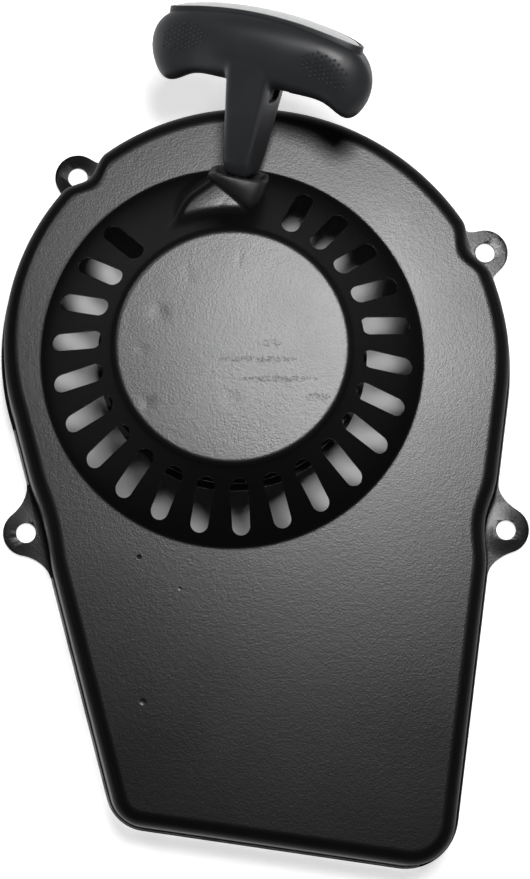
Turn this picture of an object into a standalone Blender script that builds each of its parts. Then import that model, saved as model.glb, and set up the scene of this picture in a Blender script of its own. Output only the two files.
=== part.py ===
"""Recoil starter for a small engine, as it would come apart on a bench.

Frame: +X and +Y lie in the mounting plane, +Z runs out of the face. The origin is on the
crank axis, on the plane that the four ears bolt to, and the handle points towards +Y.
"""

import math

import bmesh
import bpy
from mathutils import Matrix, Vector

MM = 0.001
GAP = 0.3            # clearance between neighbouring pieces

# --- Housing: one steel pressing ------------------------------------------------------
SHEET = 1.2
FACE_Z = 30.0        # outer face of the flat front
DISC_Z = 54.0        # outer face of the raised centre disc
CONE_R = 60.9        # foot of the 45 degree slotted cone
DISC_FILLET = 4.0
EDGE_R = 5.0         # rounding between the wall and the face
WALL_DRAFT = math.radians(5.6)
RIM_LIP = 1.0        # the trimmed lip that stands out all round at the mounting plane
EDGE_STEPS = 4

# The plan is a fan volute: a spiral round an offset centre, then three straight sides.
VOLUTE_C = Vector((1.51, 0.82))
VOLUTE_R180 = 78.56
VOLUTE_PER_RAD = 4.13
VOLUTE_END = math.radians(4)
LEFT_LEAN = math.radians(14.85)
RIGHT_LEAN = math.radians(7.44)
BASE_LEAN = math.radians(8.27)
BASE_OUT = 154.6     # from the crank axis to the bottom side
LEFT_CORNER_R = 14.0
RIGHT_CORNER_R = 17.5

# Each ear: hole centre, half-width of its foot along the wall, depth of the wall's scallop.
EARS = (
    (Vector((-52.25, 65.1)), 10.0, 3.1),
    (Vector((84.85, 39.75)), 10.5, 3.1),
    (Vector((-68.3, -54.7)), 16.5, 1.0),
    (Vector((90.8, -53.6)), 15.5, 2.1),
)
EAR_R = 7.6
EAR_HOLE_R = 3.3     # clearance for an M6 screw

SLOT_PLACES = 26
SLOT_COUNT = 22      # the rope hood takes the other four places
SLOT_START = math.radians(65.3)
SLOT_PITCH = math.tau / SLOT_PLACES
SLOT_IN, SLOT_OUT, SLOT_W = 40.7, 57.5, 5.7
CONE_STEPS = SLOT_PLACES * 3

# The rope hood: a short tunnel raised out of the cone along the rope's way out.
HOOD_WAY = math.radians(50)
HOOD_END = Vector((0.0, 50.2))
HOOD_LENGTH = 30.0
HOOD_TOP = 46.6
HOOD_HALF_W = 8.8
HOOD_FLARE = 1.2
HOOD_ROUND = 2.6

# --- Handle and rope ------------------------------------------------------------------
PULL_RISE = math.radians(25)     # above the mounting plane
PULL_LEAN = 0.154                # X part of the pull direction
GRIP_TWIST = math.radians(18)    # turn of the T about its own stem
MOUTH = Vector((2.6, 57.0, 43.0))
GRIP_TOP = 50.3                  # from the guide's mouth to the top of the T
GRIP_HALF = 36.2
GRIP_SHIFT = 0.6                 # the T sits slightly off its stem
GRIP_DEPTH = 11.0
ROPE_R = 1.8
ROPE_BORE_R = 2.3

# --- Reel and drive, by distance from the mounting plane -------------------------------
DISC_IN = DISC_Z - SHEET
POST_R, ARBOR_R = 6.0, 8.0
POST_END, ARBOR_END = 6.2, 41.0
BUSH_R = 7.7
REEL_BORE_R = 8.0
REEL_BACK, REEL_FLOOR = 13.0, 40.6
BOSS_R = 26.0
GROOVE_LOW, GROOVE_HIGH, GROOVE_R = 31.4, 38.6, 30.0
ROPE_Z = 36.5
REAR_FLANGE_R, FRONT_FLANGE_R = 43.1, 41.5
CUP_R, CUP_WALL, CUP_TOP = 33.2, 1.6, 49.6
ROPE_LAYER_R = 38.2              # centre line of the outermost wrap
PAWL_PIVOT_R, PAWL_ARM = 18.0, 15.0
PAWL_LOW, PAWL_HIGH = 8.3, 12.6
PAWL_SWING = math.radians(40)
PLATE_LAG = math.radians(30)
PLATE_LOW, PLATE_HIGH, PLATE_R = 6.5, 7.9, 27.0
DRIVE_PIN_AT, DRIVE_PIN_R = 8.0, 1.5


def clear_scene():
    for ob in list(bpy.data.objects):
        bpy.data.objects.remove(ob, do_unlink=True)


def finish(name, colour, roughness, metallic=0.0):
    mat = bpy.data.materials.new(name)
    mat.use_nodes = True
    shader = mat.node_tree.nodes["Principled BSDF"]
    shader.inputs["Base Color"].default_value = (*colour, 1.0)
    shader.inputs["Roughness"].default_value = roughness
    shader.inputs["Metallic"].default_value = metallic
    return mat


def piece(name, verts, faces, mat=None, origin=(0, 0, 0)):
    """A mesh object from millimetre points, with its origin at a millimetre point."""
    mesh = bpy.data.meshes.new(name)
    centre = Vector(origin)
    mesh.from_pydata([(Vector(v) - centre) * MM for v in verts], [], faces)
    bm = bmesh.new()
    bm.from_mesh(mesh)
    bmesh.ops.recalc_face_normals(bm, faces=bm.faces)
    bm.to_mesh(mesh)
    bm.free()
    if mat:
        mesh.materials.append(mat)
        mesh.shade_smooth()
        mesh.set_sharp_from_angle(angle=math.radians(30))
    ob = bpy.data.objects.new(name, mesh)
    ob.location = centre * MM
    bpy.context.scene.collection.objects.link(ob)
    return ob


def joined(*shapes):
    """Several (verts, faces) shapes as one, still separate bodies."""
    verts, faces = [], []
    for more_verts, more_faces in shapes:
        base = len(verts)
        verts += more_verts
        faces += [[base + i for i in face] for face in more_faces]
    return verts, faces


def moved(shape, matrix):
    return [matrix @ Vector(v) for v in shape[0]], shape[1]


def loft(rings, closed=False):
    """Bridge rings of equal length; the ends are capped unless the loft closes on itself."""
    n = len(rings[0])
    verts = [v for ring in rings for v in ring]
    faces = []
    last = len(rings) if closed else len(rings) - 1
    for i in range(last):
        a, b = i * n, ((i + 1) % len(rings)) * n
        faces += [[a + j, a + (j + 1) % n, b + (j + 1) % n, b + j] for j in range(n)]
    if not closed:
        faces += [list(range(n)), list(range(len(verts) - n, len(verts)))]
    return verts, faces


def prism(outline, low, high):
    return loft([[(x, y, z) for x, y in outline] for z in (low, high)])


def turned(profile, steps=48):
    """Turn a closed (radius, z) profile about Z. A profile on the axis closes there."""
    on_axis = [i for i, (r, _) in enumerate(profile) if r == 0]
    if not on_axis:
        rings = []
        for k in range(steps):
            a = math.tau * k / steps
            rings.append([(r * math.cos(a), r * math.sin(a), z) for r, z in profile])
        return loft(rings, closed=True)
    rings = [[(r * math.cos(math.tau * k / steps), r * math.sin(math.tau * k / steps), z)
              for k in range(steps)] for r, z in profile if r > 0]
    return loft(rings)


def tube(path, radius, sides=10, closed=False):
    """A round tube along a list of points, with flat ends."""
    rings = []
    side = None
    for i, p in enumerate(path):
        before = path[i - 1] if i or closed else p
        after = path[(i + 1) % len(path)] if i + 1 < len(path) or closed else p
        along = (Vector(after) - Vector(before)).normalized()
        side = side or along.orthogonal()
        side = (side - along * side.dot(along)).normalized()
        up = along.cross(side)
        rings.append([Vector(p) + radius * (math.cos(t) * side + math.sin(t) * up)
                      for t in (math.tau * k / sides for k in range(sides))])
    return loft(rings, closed)


def smooth_path(points, per_span=6):
    """Catmull-Rom curve through the points."""
    pts = [Vector(p) for p in points]
    pts = [2 * pts[0] - pts[1]] + pts + [2 * pts[-1] - pts[-2]]
    out = []
    for i in range(1, len(pts) - 2):
        a, b, c, d = pts[i - 1:i + 3]
        for k in range(per_span):
            t = k / per_span
            out.append(0.5 * (2 * b + (c - a) * t + (2 * a - 5 * b + 4 * c - d) * t * t
                              + (3 * b - a - 3 * c + d) * t ** 3))
    return out + [pts[-2]]


def arc(centre, radius, start, end, steps):
    return [Vector((centre[0] + radius * math.cos(start + (end - start) * k / steps),
                    centre[1] + radius * math.sin(start + (end - start) * k / steps)))
            for k in range(steps + 1)]


def polar(radius, angle):
    return Vector((radius * math.cos(angle), radius * math.sin(angle)))


def boolean(target, shape, operation, name, origin=(0, 0, 0)):
    """Cut a shape out of a piece, or join it on, with a hidden tool object."""
    tool = piece(f"{target.name}_{name}", *shape, origin=origin)
    tool.hide_render = True
    tool.display_type = "WIRE"
    step = target.modifiers.new(name, "BOOLEAN")
    step.operation = operation
    step.solver = "EXACT"
    step.object = tool


def cut(target, shape, name):
    boolean(target, shape, "DIFFERENCE", name)


def add(target, shape, name):
    boolean(target, shape, "UNION", name)


# --- Housing outline ------------------------------------------------------------------
def side_normal(lean, sign):
    return Vector((sign * math.cos(lean), -math.sin(lean)))


def volute_point(angle):
    growth = math.pi - max(angle, VOLUTE_END)
    return VOLUTE_C + polar(VOLUTE_R180 + VOLUTE_PER_RAD * growth, angle)


def corner(n1, h1, n2, h2, radius, steps=7):
    """Arc between two straight sides, each given by its normal and its distance out."""
    det = n1.x * n2.y - n1.y * n2.x
    a, b = h1 - radius, h2 - radius
    centre = Vector(((a * n2.y - b * n1.y) / det, (b * n1.x - a * n2.x) / det))
    start = math.atan2(n1.y, n1.x)
    turn = (math.atan2(n2.y, n2.x) - start) % math.tau
    return arc(centre, radius, start, start + turn, steps)


def plain_outline():
    """The lip's outline without ears: anticlockwise from the right side's upper end."""
    left, right = side_normal(LEFT_LEAN, -1), side_normal(RIGHT_LEAN, 1)
    base = Vector((-math.sin(BASE_LEAN), -math.cos(BASE_LEAN)))
    start, end = -RIGHT_LEAN, math.pi + LEFT_LEAN
    steps = 42
    curve = [volute_point(start + (end - start) * k / steps) for k in range(steps + 1)]
    left_corner = corner(left, left.dot(curve[-1]), base, BASE_OUT, LEFT_CORNER_R)
    right_corner = corner(base, BASE_OUT, right, right.dot(curve[0]), RIGHT_CORNER_R)
    return curve + left_corner + right_corner


def walk(points):
    """Cumulative length round a closed outline."""
    lengths = [0.0]
    for i, p in enumerate(points):
        lengths.append(lengths[-1] + (points[(i + 1) % len(points)] - p).length)
    return lengths


def at_length(points, lengths, s):
    s %= lengths[-1]
    i = next(k for k in range(len(points)) if lengths[k + 1] >= s)
    a, b = points[i], points[(i + 1) % len(points)]
    along = (b - a).normalized()
    return a + along * (s - lengths[i]), Vector((along.y, -along.x))


def foot_length(points, lengths, hole):
    """Where along the outline an ear's hole is nearest."""
    samples = [lengths[-1] * k / 1500 for k in range(1500)]
    return min(samples, key=lambda s: (at_length(points, lengths, s)[0] - hole).length)


def stations():
    """Outline stations: (point, outward normal, length, scallop depth)."""
    points = plain_outline()
    lengths = walk(points)
    feet = [foot_length(points, lengths, hole) for hole, _, _ in EARS]
    marks = list(lengths[:-1])
    for foot, (_, half, _) in zip(feet, EARS):
        marks = [s for s in marks if abs(s - foot) > half + 1.0]
        marks += [foot + half * k / 5 for k in range(-5, 6)]
    out = []
    for s in sorted(marks):
        p, _ = at_length(points, lengths, s)
        before = at_length(points, lengths, s - 1.5)[0]
        after = at_length(points, lengths, s + 1.5)[0]
        along = (after - before).normalized()
        scallop = 0.0
        for foot, (_, half, depth) in zip(feet, EARS):
            if abs(s - foot) < half:
                scallop = depth * 0.5 * (1 + math.cos(math.pi * (s - foot) / half))
        out.append((p, Vector((along.y, -along.x)), s, scallop))
    return out, feet, points, lengths


def inset_ring(marks, inset, z, scalloped=True):
    return [(*(p - n * (inset + (dip if scalloped else 0))), z) for p, n, _, dip in marks]


def ear_points(foot, half, hole, points, lengths):
    """One ear's edge: a round end about the hole, flared back into the lip."""
    p, n = at_length(points, lengths, foot)
    t = Vector((-n.y, n.x))
    h_n, h_t = (hole - p).dot(n), (hole - p).dot(t)
    spread = math.radians(66)
    out = []
    for sign in (-1, 1):
        foot_at = Vector((0.0, sign * half))
        tip = Vector((h_n + EAR_R * math.cos(spread), h_t + sign * EAR_R * math.sin(spread)))
        pull_out = tip + Vector((-math.sin(spread), sign * math.cos(spread))) * half * 0.25
        pull_in = foot_at - Vector((0.0, sign * half * 0.25))
        flare = []
        for k in range(6):
            u = k / 6
            flare.append(foot_at * (1 - u) ** 3 + pull_in * 3 * u * (1 - u) ** 2
                         + pull_out * 3 * u * u * (1 - u) + tip * u ** 3)
        out.append(flare)
    nose = arc((h_n, h_t), EAR_R, -spread, spread, 10)
    local = out[0] + nose + list(reversed(out[1]))
    return [p + n * q.x + t * q.y for q in local]


def lip_outline(marks, feet, points, lengths):
    """The lip with its four ears, as one outline."""
    out = []
    done = set()
    for p, _, s, _ in marks:
        inside = [k for k, foot in enumerate(feet) if abs(s - foot) <= EARS[k][1] + 0.01]
        if not inside:
            out.append(p)
            continue
        k = inside[0]
        if k not in done:
            done.add(k)
            out += ear_points(feet[k], EARS[k][1], EARS[k][0], points, lengths)
    return out


def shell_rings(marks, offset, low, top):
    """Rings up the drafted wall and over the rounded edge, offset inwards by the sheet."""
    straight = FACE_Z - EDGE_R
    radius = EDGE_R - offset
    draft = math.tan(WALL_DRAFT)
    rings = [inset_ring(marks, RIM_LIP + offset, low)]
    rings.append(inset_ring(marks, RIM_LIP + offset + straight * draft, straight))
    for k in range(1, EDGE_STEPS + 1):
        a = math.pi / 2 * k / EDGE_STEPS
        inset = RIM_LIP + offset + straight * draft + radius * (1 - math.cos(a))
        rings.append(inset_ring(marks, inset, straight + (top - straight) * math.sin(a)))
    return rings


def cone_profile(offset, low):
    """Half section of the cone and disc, offset inwards by the sheet."""
    slope = math.pi / 4
    line = CONE_R + FACE_Z - offset / math.cos(slope)       # radius + z along the cone
    top = DISC_Z - offset
    radius = DISC_FILLET - offset
    flat_r = line - top - radius * math.tan(slope / 2)
    fillet = [(flat_r + radius * math.sin(a), top - radius * (1 - math.cos(a)))
              for a in (slope * (3 - k) / 3 for k in range(4))]
    return [(0, low), (line - low, low), *fillet, (0, top)]


def hood_section(offset):
    """Across the tunnel: half-width against height."""
    half, top = HOOD_HALF_W - offset, HOOD_TOP - offset
    low, flare, radius = 20.0, HOOD_FLARE, HOOD_ROUND - offset * 0.5
    right = [(half + flare, low), (half, top - radius)]
    right += [(half - radius * (1 - math.cos(a)), top - radius * (1 - math.sin(a)))
              for a in (math.pi / 2 * k / 4 for k in range(1, 5))]
    return right + [(-w, z) for w, z in reversed(right)]


def hood_tunnel(offset, back, front):
    """The tunnel from its blind end under the disc to its end at the rope guide."""
    way = polar(1, HOOD_WAY)
    across = Vector((way.y, -way.x))
    rings = []
    for s in (-HOOD_LENGTH + back, front):
        foot = HOOD_END + way * s
        rings.append([(*(foot + across * w), z) for w, z in hood_section(offset)])
    return loft(rings)


def slot_cutters():
    shapes = []
    r = SLOT_W / 2
    for k in range(SLOT_COUNT):
        angle = SLOT_START - SLOT_PITCH * k
        outline = [Vector((p.x, p.y)) for p in
                   arc((SLOT_OUT - r, 0), r, -math.pi / 2, math.pi / 2, 4)
                   + arc((SLOT_IN + r, 0), r, math.pi / 2, 3 * math.pi / 2, 4)]
        shapes.append(moved(prism(outline, 25.0, 60.0), Matrix.Rotation(angle, 4, "Z")))
    return joined(*shapes)


def make_housing(mat):
    marks, feet, points, lengths = stations()
    lip = prism(lip_outline(marks, feet, points, lengths), 0.0, SHEET)
    housing = piece("housing", *lip, mat)
    add(housing, loft(shell_rings(marks, 0.0, SHEET / 2, FACE_Z)), "wall")
    add(housing, turned(cone_profile(0.0, FACE_Z - 3), CONE_STEPS), "cone")
    add(housing, hood_tunnel(0.0, 0.0, 0.0), "hood")
    cavity = shell_rings(marks, SHEET, -1.0, FACE_Z - SHEET)
    cut(housing, loft(cavity), "cavity")
    cut(housing, turned(cone_profile(SHEET, FACE_Z - 6), CONE_STEPS), "cone_cavity")
    cut(housing, hood_tunnel(SHEET, SHEET, -SHEET), "hood_cavity")
    cut(housing, slot_cutters(), "slots")
    holes = [prism(arc(hole, EAR_HOLE_R, 0, math.tau * 23 / 24, 23), -1.0, SHEET + 1)
             for hole, _, _ in EARS]
    cut(housing, joined(*holes), "ear_holes")
    cut(housing, guide_neck(GAP, 6.0, 4.0), "guide_hole")
    return housing


# --- Rope guide, rope and handle --------------------------------------------------------
def pull_frame(twist=0.0):
    """Handle frame at the guide's mouth: X along the T, Y along the pull, Z to the front."""
    rise_z = math.sin(PULL_RISE)
    pull = Vector((PULL_LEAN, math.sqrt(1 - PULL_LEAN ** 2 - rise_z ** 2), rise_z))
    front = (Vector((0, 0, 1)) - pull * pull.z).normalized()
    across = pull.cross(front)
    b = across * math.cos(twist) + front * math.sin(twist)
    f = front * math.cos(twist) - across * math.sin(twist)
    m = Matrix((b, pull, f)).transposed().to_4x4()
    return Matrix.Translation(MOUTH) @ m


NECK_Z = 40.4
NECK_R = 4.4


def guide_neck(clearance, back, front):
    """The round neck that holds the guide in the hood's end."""
    way = polar(1, HOOD_WAY)
    a = Vector((*(HOOD_END - way * back), NECK_Z))
    b = Vector((*(HOOD_END + way * front), NECK_Z))
    return tube([a, b], NECK_R + clearance, 20)


def oval(centre, x_axis, y_axis, half_x, half_y, power, count):
    ring = []
    for k in range(count):
        t = math.tau * k / count
        c, s = math.cos(t), math.sin(t)
        ring.append(centre + x_axis * half_x * math.copysign(abs(c) ** (2 / power), c)
                    + y_axis * half_y * math.copysign(abs(s) ** (2 / power), s))
    return ring


def guide_block():
    """The guide's moulded block: it turns from the hood's way to the pull direction."""
    way = Vector((*polar(1, HOOD_WAY), 0))
    frame = pull_frame()
    pull, mouth_x, mouth_f = (frame.to_3x3().col[i] for i in (1, 0, 2))
    base = Vector((*HOOD_END, 40.5)) - way * 1.5
    base_x = Vector((way.y, -way.x, 0))
    rings = []
    for u, grow in ((0, 0.93), (0.15, 1.0), (0.5, 1.0), (0.9, 1.0), (1.0, 0.95)):
        centre = base.lerp(MOUTH, u) + Vector((0, 0, 0.6)) * math.sin(math.pi * u)
        x_axis = base_x.lerp(mouth_x, u).normalized()
        y_axis = Vector((0, 0, 1)).lerp(mouth_f, u).normalized()
        rings.append(oval(centre, x_axis, y_axis, 9.3 * grow, (7.0 + 0.8 * u) * grow, 4.2, 28))
    return loft(rings)


def rope_points():
    """The rope's way from the top of the winding to the knot in the handle."""
    way = polar(1, HOOD_WAY)
    entry = HOOD_END - way * 4.5
    leave = math.atan2(entry.y, entry.x) + math.acos(ROPE_LAYER_R / entry.length)
    pull = pull_frame().to_3x3().col[1]
    pts = [Vector((*polar(ROPE_LAYER_R, leave + 0.16 * k), ROPE_Z)) for k in (4, 3, 2, 1, 0)]
    over_flange = pts[-1].lerp(Vector((*entry, ROPE_Z)), 0.62)
    pts += [over_flange, Vector((*entry, 39.4))]
    pts += [Vector((*HOOD_END, 40.6)), MOUTH - pull * 3.0]
    pts += [MOUTH + pull * s for s in (2, 10, 20, 31.5)]
    return smooth_path(pts, 5)


def make_rope_guide(mat):
    guide = piece("rope_guide", *guide_block(), mat)
    cut(guide, turned(cone_profile(-GAP, FACE_Z - 8), CONE_STEPS), "cone_clearance")
    cut(guide, hood_tunnel(-GAP, 0.0, GAP), "hood_clearance")
    face = prism([(-30, 40), (30, 40), (30, 80), (-30, 80)], 0.0, FACE_Z + GAP)
    cut(guide, face, "face_clearance")
    add(guide, guide_neck(0.0, 4.0, 3.0), "neck")
    seat = turned([(0, -5.0), (3.0, -5.0), (8.2, 1.5), (0, 1.5)], 24)
    upright = Matrix.Rotation(-math.pi / 2, 4, "X")
    cut(guide, moved(seat, pull_frame() @ upright), "seat")
    cut(guide, tube(rope_points(), ROPE_BORE_R, 12), "bore")
    return guide


def grip_edge(x):
    """Lowest and highest point of the T at a place along it: drooping, rounded-off ends."""
    low = 28.5 - 4.8 * math.exp(-((abs(x) - 30.0) / 6.4) ** 2)
    high = GRIP_TOP - 1.2 - 3.2 * (x / 32.0) ** 2
    reach = max(1 - (abs(x) / GRIP_HALF) ** 10, 0.002) ** 0.55
    middle = (low + high) / 2
    return middle - (middle - low) * reach, middle + (high - middle) * reach, reach


def grip_sections(steps=20, count=20):
    """Sections along the T: soft below, cut off flat along the top."""
    rings = []
    for k in range(steps + 1):
        x = -GRIP_HALF * math.cos(math.pi * k / steps)
        low, high, reach = grip_edge(x)
        over = 2.5 * reach
        centre = Vector((x + GRIP_SHIFT, (low + high + over) / 2, 0))
        ring = oval(centre, Vector((0, 1, 0)), Vector((0, 0, 1)),
                    (high + over - low) / 2, GRIP_DEPTH * reach, 2.8, count)
        rings.append([Vector((p.x, min(p.y, high), p.z)) for p in ring])
    return rings


def stem_sections():
    """The stem: a tapered bar, deeper than it is wide, with rounded corners."""
    rings = []
    for y, half_x, half_z in ((-2.6, 3.0, 3.0), (1.2, 4.8, 5.2), (15, 6.5, 7.4),
                              (29, 7.8, 9.4), (38, 8.0, 9.6)):
        rings.append(oval(Vector((0.3, y, 0)), Vector((1, 0, 0)), Vector((0, 0, 1)),
                          half_x, half_z, 5.0, 24))
    return rings


def top_plate(half, half_z, low, high, crown=0.0):
    """An oval plate that follows the top of the T, measured from the T's own top edge."""
    rings = []
    steps = 12
    for k in range(steps + 1):
        x = -half * math.cos(math.pi * k / steps)
        width = max(half_z * max(1 - (abs(x) / half) ** 5, 0.0) ** (1 / 2.2), 0.8)
        edge = GRIP_TOP - 3.2 * (x / 32.0) ** 2
        rings.append([Vector((x + GRIP_SHIFT, y, z)) for z, y in (
            (-width, edge + low), (width, edge + low), (width, edge + high),
            (width * 0.5, edge + high + crown * 0.8), (0, edge + high + crown),
            (-width * 0.5, edge + high + crown * 0.8), (-width, edge + high))])
    return loft(rings)


def make_handle(grip_mat, cap_mat, steel, rope_mat):
    frame = pull_frame(GRIP_TWIST)
    upright = frame @ Matrix.Rotation(-math.pi / 2, 4, "X")
    origin = tuple(MOUTH)
    grip_shape = moved(loft(grip_sections()), frame)
    grip = piece("handle_grip", *grip_shape, grip_mat, origin)
    add(grip, moved(loft(stem_sections()), frame), "stem")
    add(grip, moved(top_plate(31.6, 8.6, -3.5, 0.0), frame), "rim")
    cut(grip, moved(top_plate(30.6 + GAP, 7.2 + GAP, -4.4 - GAP, 3.0), frame), "cap_recess")
    chamber = turned([(0, 30.0), (5.8, 30.0), (5.8, 46.6), (0, 46.6)], 20)
    cut(grip, moved(chamber, upright), "knot_chamber")
    bore = turned([(0, -4.0), (ROPE_BORE_R, -4.0), (ROPE_BORE_R, 31.0), (0, 31.0)], 16)
    cut(grip, moved(bore, upright), "rope_bore")
    cap = piece("handle_insert", *moved(top_plate(30.6, 7.2, -4.4, 0.0, 1.3), frame), cap_mat, origin)
    washer = turned([(ROPE_BORE_R, 30.3), (5.4, 30.3), (5.4, 31.3), (ROPE_BORE_R, 31.3)], 20)
    disc = piece("handle_washer", *moved(washer, upright), steel, origin)
    knot = turned([(0, 31.8), (2.4, 31.8), (4.1, 33.2), (4.5, 35.2), (3.6, 37.2),
                   (1.6, 38.2), (0, 38.2)], 14)
    tied = piece("rope_knot_handle", *moved(knot, upright), rope_mat, origin)
    return grip, cap, disc, tied


# --- Reel, spring and drive ----------------------------------------------------------------
def make_post(steel):
    profile = [(0, POST_END), (POST_R, POST_END), (POST_R, ARBOR_END), (ARBOR_R, ARBOR_END),
               (ARBOR_R, DISC_IN - 1.8), (24.0, DISC_IN - 1.8), (24.0, DISC_IN - GAP),
               (0, DISC_IN - GAP)]
    post = piece("center_post", *turned(profile, 36), steel)
    cut(post, turned([(0, 0), (3.2, 0), (3.2, 28.0), (0, 30.0)], 20), "thread")
    hook = prism([(6.6, -0.6), (9, -0.6), (9, 0.6), (6.6, 0.6)], ARBOR_END - 1, DISC_IN - 2.4)
    cut(post, hook, "spring_hook")
    return post


def sector(r_in, r_out, start, end, low, high, steps=6):
    outer = arc((0, 0), r_out, start, end, steps)
    inner = arc((0, 0), r_in, end, start, steps)
    return prism(outer + inner, low, high)


def knot_place():
    """Pocket for the rope's inner knot, between two ribs of the reel's back."""
    return math.radians(210)


def make_reel(plastic):
    profile = [(REEL_BORE_R, REEL_BACK), (BOSS_R, REEL_BACK), (BOSS_R, 28.8),
               (REAR_FLANGE_R, 28.8), (REAR_FLANGE_R, 30.2), (GROOVE_R, GROOVE_LOW),
               (GROOVE_R, GROOVE_HIGH), (FRONT_FLANGE_R, 39.0), (FRONT_FLANGE_R, 40.2),
               (CUP_R, REEL_FLOOR), (CUP_R, CUP_TOP), (CUP_R - CUP_WALL, CUP_TOP),
               (CUP_R - CUP_WALL, REEL_FLOOR), (REEL_BORE_R, REEL_FLOOR)]
    reel = piece("reel", *turned(profile, 48), plastic)
    pockets = []
    for k in range(6):
        middle = math.radians(30 + 60 * k)
        half = math.radians(17)
        pockets.append(sector(12.5, 23.8, middle - half, middle + half, 10.0, 26.0))
    cut(reel, joined(*pockets), "coring")
    pins = []
    for k in range(2):
        at = polar(PAWL_PIVOT_R, math.pi * k)
        pins.append(prism(arc(at, 2.8, 0, math.tau * 15 / 16, 15), 10.0, 25.0))
        pins.append(prism(arc(at, 4.6, 0, math.tau * 19 / 20, 19), 9.0, 17.5))
    cut(reel, joined(pins[0], pins[2]), "pivot_bores")
    cut(reel, joined(pins[1], pins[3]), "spring_pockets")
    cut(reel, tube(knot_stub_points(2.0), ROPE_BORE_R, 10), "rope_hole")
    notch = prism([(29.5, -0.9), (32.6, -0.9), (32.6, 0.9), (29.5, 0.9)], REEL_FLOOR + 0.4, 51)
    cut(reel, notch, "spring_slot")
    return reel


def knot_stub_points(extra):
    a = knot_place()
    outer = Vector((*polar(GROOVE_R - 0.4 + extra, a), 34.0 + extra))
    inner = Vector((*polar(20.0, a), 22.5))
    return [inner, outer]


def make_reel_knot(mat):
    """The inner knot and the short stretch of rope through the reel's wall."""
    a = knot_place()
    inner = Vector((*polar(18.6, a), 20.6))
    way = (knot_stub_points(0)[1] - knot_stub_points(0)[0]).normalized()
    knot = turned([(0, -3.6), (2.2, -3.2), (3.4, -1.4), (3.4, 1.0), (2.4, 2.8), (0, 3.0)], 12)
    turn = Vector((0, 0, 1)).rotation_difference(way).to_matrix().to_4x4()
    tied = piece("rope_knot_reel", *moved(knot, Matrix.Translation(inner) @ turn), mat)
    add(tied, tube([inner, knot_stub_points(0)[1] - way * 1.8], ROPE_R, 8), "stub")
    return tied


def make_spring(steel):
    """The recoil spring: a flat strip wound on edge, hooked into the post and the cup."""
    inner_r, outer_r, thick = ARBOR_R + 0.8, CUP_R - CUP_WALL - 0.8, 0.5
    low, high = REEL_FLOOR + GAP + 0.1, CUP_TOP - 0.4
    turns, steps = 9, 18
    rings = []
    for k in range(turns * steps + 1):
        r = inner_r + (outer_r - inner_r) * k / (turns * steps)
        a = math.tau * k / steps
        inner, outer = polar(r - thick / 2, a), polar(r + thick / 2, a)
        rings.append([(*inner, low), (*outer, low), (*outer, high), (*inner, high)])
    strip = piece("recoil_spring", *loft(rings), steel)
    for name, r_from, r_to in (("post_hook", ARBOR_R - 0.9, inner_r),
                               ("cup_hook", outer_r, CUP_R - CUP_WALL + 0.7)):
        hook = [(r_from, -0.3), (r_to, -0.3), (r_to, 0.3), (r_from, 0.3)]
        add(strip, prism(hook, low + 0.3, high - 0.3), name)
    return strip


def helix(radius, low, high, turns, wire, steps=12, sides=6):
    path = []
    for k in range(int(turns * steps) + 1):
        u = k / (turns * steps)
        path.append(Vector((*polar(radius, math.tau * turns * u),
                            low + (high - low) * u)))
    return tube(path, wire, sides)


def pawl_shape():
    """A ratchet pawl seen along Z, its pivot at the origin and its nose towards -Y."""
    back = arc((0, 0), 4.2, math.radians(10), math.radians(190), 8)
    inner = [Vector((-3.6, -4.0)), Vector((-2.2, -PAWL_ARM + 3.2))]
    nose = [Vector((-0.8, -PAWL_ARM)), Vector((2.0, -PAWL_ARM + 0.4)), Vector((3.6, -9.0))]
    return back + inner + nose


def make_pawl(name, angle, steel):
    at = Vector((*polar(PAWL_PIVOT_R, angle), 0))
    place = Matrix.Translation(at) @ Matrix.Rotation(angle, 4, "Z")
    origin = (at.x, at.y, PAWL_LOW)
    pawl = piece(name, *moved(prism(pawl_shape(), PAWL_LOW, PAWL_HIGH), place), steel, origin)
    pin = prism(arc((0, 0), 2.4, 0, math.tau * 15 / 16, 15), PAWL_HIGH - 1, 23.5)
    add(pawl, moved(pin, place), "pivot_pin")
    drive = prism(arc((0, -DRIVE_PIN_AT), DRIVE_PIN_R, 0, math.tau * 11 / 12, 11),
                  PLATE_LOW + 0.1, PAWL_LOW + 1)
    add(pawl, moved(drive, place), "drive_pin")
    return pawl


def cam_path():
    """The drive pin's way in the friction plate, as the plate lags and the pawl swings."""
    path = []
    for k in range(9):
        u = k / 8
        swing, lag = PAWL_SWING * u, PLATE_LAG * u
        pin = Vector((PAWL_PIVOT_R, 0)) + DRIVE_PIN_AT * Vector((math.sin(swing),
                                                               -math.cos(swing)))
        path.append(Vector((pin.x * math.cos(lag) + pin.y * math.sin(lag),
                            pin.y * math.cos(lag) - pin.x * math.sin(lag))))
    return path


def cam_slot(half_width):
    """A slot of even width round the cam path, with round ends."""
    path = cam_path()
    sides = {1: [], -1: []}
    for i, p in enumerate(path):
        along = (path[min(i + 1, 8)] - path[max(i - 1, 0)]).normalized()
        for sign, side in sides.items():
            side.append(p + Vector((-along.y, along.x)) * sign * half_width)
    ends = []
    for tip, inner in ((path[0], path[1]), (path[8], path[7])):
        out = math.atan2(tip.y - inner.y, tip.x - inner.x)
        ends.append(arc(tip, half_width, out - math.pi / 2, out + math.pi / 2, 5)[1:-1])
    return ends[0] + sides[-1] + ends[1] + sides[1][::-1]


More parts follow.
